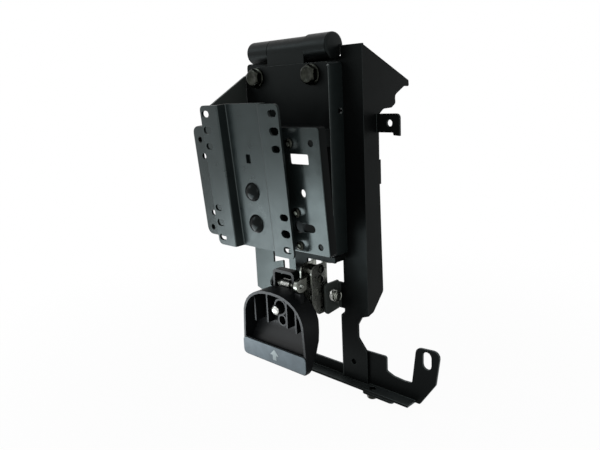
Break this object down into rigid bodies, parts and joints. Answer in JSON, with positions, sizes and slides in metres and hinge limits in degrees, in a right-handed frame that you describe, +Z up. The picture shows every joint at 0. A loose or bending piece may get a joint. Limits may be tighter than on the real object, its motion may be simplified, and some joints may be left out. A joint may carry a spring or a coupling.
{
  "type": "hinged carrier bracket",
  "caption": "Black steel carrier bracket: a slotted front plate on a tray that swings up on a top hinge and is held shut by a zinc latch with a moulded paddle.",
  "frame": {"origin": "on the rear face of the sill angle, at the middle of the frame's width, 7.5 mm above the sill's underside", "axes": "+X to the right seen from the front, +Y into the wall, +Z up"},
  "size_m": [0.2141, 0.1257, 0.2856],
  "materials": {
    "black_steel": "black powder coat, satin",
    "grey_steel": "dark grey-green textured powder coat",
    "dark_fastener": "black zinc fasteners",
    "zinc_steel": "bright zinc plate",
    "spring_steel": "drawn spring wire",
    "black_resin": "moulded black ABS",
    "label_grey": "plain grey label",
    "nylon": "natural nylon bush"
  },
  "bodies": {
    "housing": {"right_upright": "black_steel", "left_upright": "black_steel", "header_plate": "black_steel", "header_rivet_1": "black_steel", "header_rivet_2": "black_steel", "sill_angle": "black_steel", "sill_tab": "black_steel", "sill_bolt": "dark_fastener", "fixed_leaf": "black_steel", "leaf_screw_1": "dark_fastener", "leaf_screw_2": "dark_fastener", "hinge_pin": "zinc_steel", "hinge_cap_left": "black_steel", "hinge_cap_right": "black_steel", "striker_pin": "zinc_steel", "striker_nut": "zinc_steel", "striker_spring": "spring_steel"},
    "swing": {"carriage_bolt_1": "grey_steel", "carriage_bolt_2": "grey_steel", "carriage_nut_1": "zinc_steel", "carriage_nut_2": "zinc_steel", "hanger_screw_1": "zinc_steel", "hanger_screw_2": "zinc_steel", "hinge_bolt_1": "dark_fastener", "hinge_bolt_2": "dark_fastener", "hinge_bush": "nylon", "hinge_nut_1": "zinc_steel", "hinge_nut_2": "zinc_steel", "hinge_washer_1": "dark_fastener", "hinge_washer_2": "dark_fastener", "latch_hanger": "black_steel", "latch_plate_left": "zinc_steel", "latch_plate_right": "zinc_steel", "latch_spacer": "zinc_steel", "left_gusset": "black_steel", "lower_standoff": "black_steel", "mid_plate": "grey_steel", "mid_rivet_1": "dark_fastener", "mid_rivet_2": "dark_fastener", "mid_rivet_3": "dark_fastener", "mid_rivet_4": "dark_fastener", "mid_rivet_5": "dark_fastener", "paddle_pin": "zinc_steel", "paddle_spring": "spring_steel", "pawl_pin": "zinc_steel", "rotor_pin": "zinc_steel", "screen_plate": "grey_steel", "standoff_rivet_1": "dark_fastener", "standoff_rivet_2": "dark_fastener", "standoff_rivet_3": "dark_fastener", "swing_leaf": "black_steel", "swing_tray": "black_steel", "upper_standoff": "black_steel"},
    "rotor": {"rotor": "zinc_steel"},
    "pawl": {"pawl": "zinc_steel"},
    "paddle": {"paddle": "black_resin", "paddle_screw": "zinc_steel", "label_strip": "label_grey"}
  },
  "joints": [
    {"name": "swing_hinge", "type": "hinge", "parent": "housing", "child": "swing", "pos_m": [0, -0.0094, 0.262], "axis": [-1, 0, 0], "range_deg": [0, 95]},
    {"name": "paddle_hinge", "type": "hinge", "parent": "swing", "child": "paddle", "pos_m": [0, -0.0283, 0.0745], "axis": [-1, 0, 0], "range_deg": [0, 24], "stiffness_Nm_per_rad": 0.06, "springref_deg": -20.05, "deforming": ["paddle_spring"]},
    {"name": "pawl_pivot", "type": "hinge", "parent": "swing", "child": "pawl", "pos_m": [0.0244, -0.0203, 0.0825], "axis": [-1, 0, 0], "range_deg": [0, 16]},
    {"name": "rotor_pivot", "type": "hinge", "parent": "swing", "child": "rotor", "pos_m": [0.0244, -0.0113, 0.058], "axis": [-1, 0, 0], "range_deg": [0, 40], "stiffness_Nm_per_rad": 0.01, "springref_deg": -20.05}
  ],
  "couplings": [
    {"joint": "pawl_pivot", "follows": "paddle_hinge", "ratio": 0.65}
  ]
}
